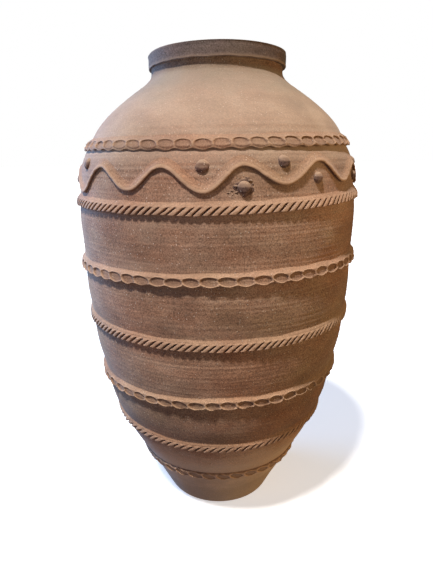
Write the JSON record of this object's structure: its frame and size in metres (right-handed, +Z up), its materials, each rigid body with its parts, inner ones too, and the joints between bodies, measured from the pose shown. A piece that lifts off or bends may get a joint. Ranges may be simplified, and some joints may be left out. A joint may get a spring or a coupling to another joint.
{
  "type": "storage jar",
  "caption": "Tall unglazed terracotta storage jar, built up in clay courses with thumb-pressed bands, rope bands, a wave and small bosses round the shoulder.",
  "frame": {"origin": "centre of the flat underside, on the surface the jar stands on", "axes": "+Z up along the jar's own axis, -Y towards the front, +X to the right of a person facing the front"},
  "size_m": [0.5477, 0.5478, 0.902],
  "materials": {
    "wall_clay": "unglazed fired clay, matt, throwing lines and fine grit",
    "band_clay": "unglazed fired clay, matt, worked by thumb and blade",
    "rim_clay": "unglazed fired clay, matt, darker from the fire"
  },
  "bodies": {
    "root": {"base_disc": "wall_clay", "foot_course": "wall_clay", "wall_course_1": "wall_clay", "wall_course_2": "wall_clay", "wall_course_3": "wall_clay", "wall_course_4": "wall_clay", "wall_course_5": "wall_clay", "frieze_course": "wall_clay", "shoulder_course": "wall_clay", "neck_ring": "rim_clay", "rim_collar": "rim_clay", "thumbed_band_1": "band_clay", "thumbed_band_2": "band_clay", "thumbed_band_3": "band_clay", "thumbed_band_4": "band_clay", "rope_band_1": "band_clay", "rope_band_2": "band_clay", "rope_band_3": "band_clay", "wave_strip": "band_clay", "upper_boss_1": "band_clay", "upper_boss_2": "band_clay", "upper_boss_4": "band_clay", "upper_boss_6": "band_clay", "upper_boss_7": "band_clay", "upper_boss_9": "band_clay", "upper_boss_12": "band_clay", "lower_boss_1": "band_clay", "lower_boss_2": "band_clay", "lower_boss_3": "band_clay", "lower_boss_5": "band_clay", "lower_boss_7": "band_clay", "lower_boss_8": "band_clay", "lower_boss_10": "band_clay", "lower_boss_11": "band_clay"}
  },
  "joints": []
}
